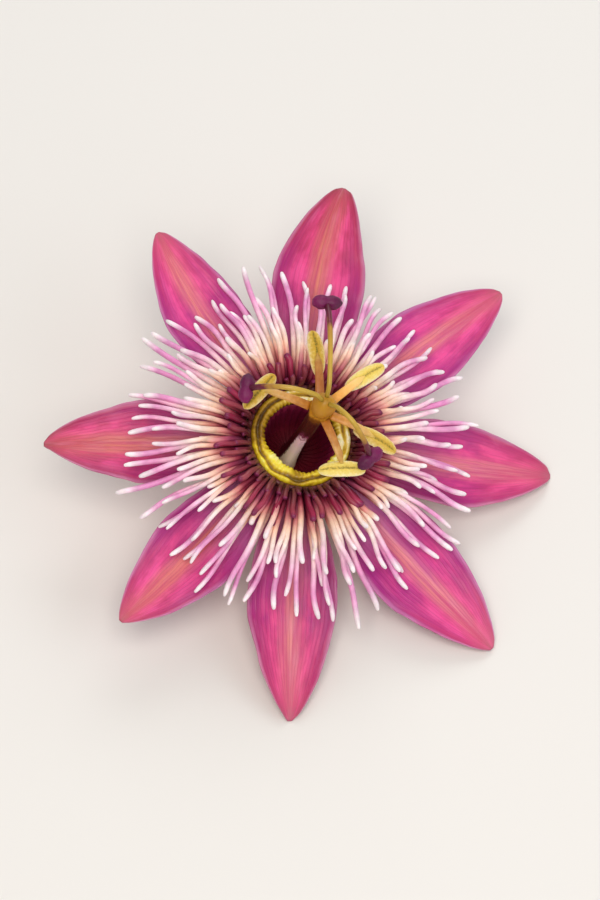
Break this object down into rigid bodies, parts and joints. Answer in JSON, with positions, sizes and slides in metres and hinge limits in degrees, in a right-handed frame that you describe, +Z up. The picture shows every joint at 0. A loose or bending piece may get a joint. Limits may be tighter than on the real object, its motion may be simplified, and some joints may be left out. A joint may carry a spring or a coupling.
{
  "type": "passion flower",
  "caption": "Open passion flower as picked, lying face up on two sepal tips and its cut stalk: pink petals, thread-like corona, and a raised column with stamens and styles.",
  "frame": {"origin": "middle of the bottom of the flower's box, on the surface that it lies on", "axes": "+Z up; the flower faces up and its axis leans 18 degrees off +Z towards the front right; +X right, +Y back"},
  "size_m": [0.0992, 0.1064, 0.0499],
  "materials": {
    "stalk": "smooth fresh green stem, satin",
    "cup": "waxy yellow-green plant tissue, satin",
    "lining": "near-black maroon membrane, silky",
    "nectary": "fleshy olive-yellow tissue, moist sheen",
    "corona_outer": "pale pink filaments, satin",
    "corona_inner": "dark maroon filaments, satin",
    "column": "smooth cream to maroon tissue, satin",
    "ovary": "smooth yellow-green tissue, waxy",
    "sepal": "deep pink petal-like sepal, satin",
    "petal": "magenta-pink petal, satin",
    "stamen": "orange-yellow tissue, matte pollen on the anthers",
    "style": "dark maroon, waxy"
  },
  "bodies": {
    "root": {"stalk": "stalk", "floral_cup": "cup", "cup_lining": "lining", "nectary_ring": "nectary", "corona_outer": "corona_outer", "corona_inner": "corona_inner", "column": "column", "ovary": "ovary", "sepal_1": "sepal", "sepal_2": "sepal", "sepal_3": "sepal", "sepal_4": "sepal", "petal_1": "petal", "petal_2": "petal", "petal_3": "petal", "petal_4": "petal", "stamen_1": "stamen", "stamen_2": "stamen", "stamen_3": "stamen", "stamen_4": "stamen", "stamen_5": "stamen", "style_1": "style", "style_2": "style", "style_3": "style"}
  },
  "joints": []
}
